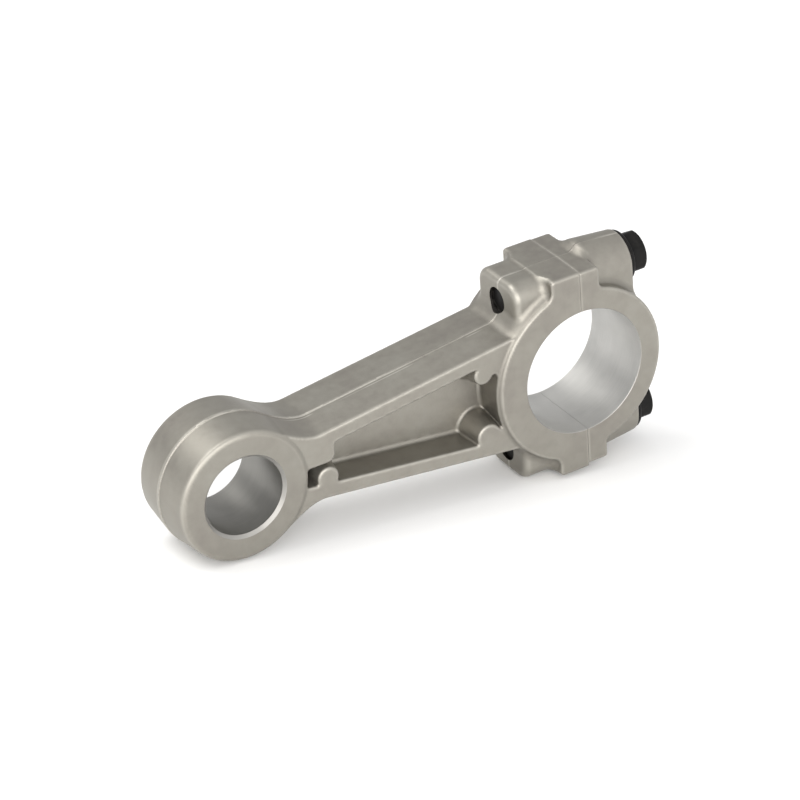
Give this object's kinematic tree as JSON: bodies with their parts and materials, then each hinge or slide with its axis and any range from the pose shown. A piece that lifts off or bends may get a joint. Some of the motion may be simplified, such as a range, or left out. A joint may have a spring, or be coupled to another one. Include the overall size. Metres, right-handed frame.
{
  "type": "connecting rod",
  "caption": "Two-piece small engine connecting rod: plain wrist pin eye, pocketed I-section shank and a split big end closed by a bolted cap.",
  "frame": {"origin": "centre of the crankpin bore, at mid width, on the plane where the cap parts from the rod", "axes": "+X along the rod from the wrist pin eye to the cap, +Y along the crankpin bore, +Z across the rod from the lower bolt to the upper bolt"},
  "size_m": [0.1394, 0.0228, 0.0606],
  "materials": {
    "cast_aluminium": "blasted die casting",
    "black_steel": "black oxide"
  },
  "bodies": {
    "rod": {"rod": "cast_aluminium"},
    "cap": {"cap": "cast_aluminium"},
    "upper_bolt": {"upper_bolt": "black_steel"},
    "lower_bolt": {"lower_bolt": "black_steel"}
  },
  "joints": [
    {"name": "upper_bolt_turn", "type": "hinge", "parent": "cap", "child": "upper_bolt", "pos_m": [0.0184, 0, 0.0216], "axis": [1, 0, 0], "range_deg": [0, 5076]},
    {"name": "lower_bolt_turn", "type": "hinge", "parent": "cap", "child": "lower_bolt", "pos_m": [0.0184, 0, -0.0216], "axis": [1, 0, 0], "range_deg": [0, 5076]},
    {"name": "cap_draw", "type": "slide", "parent": "rod", "child": "cap", "axis": [1, 0, 0], "range_m": [0, 0.0175]}
  ],
  "couplings": [
    {"joint": "upper_bolt_turn", "follows": "cap_draw", "rad_per_m": 5026.5},
    {"joint": "lower_bolt_turn", "follows": "cap_draw", "rad_per_m": 5026.5}
  ]
}
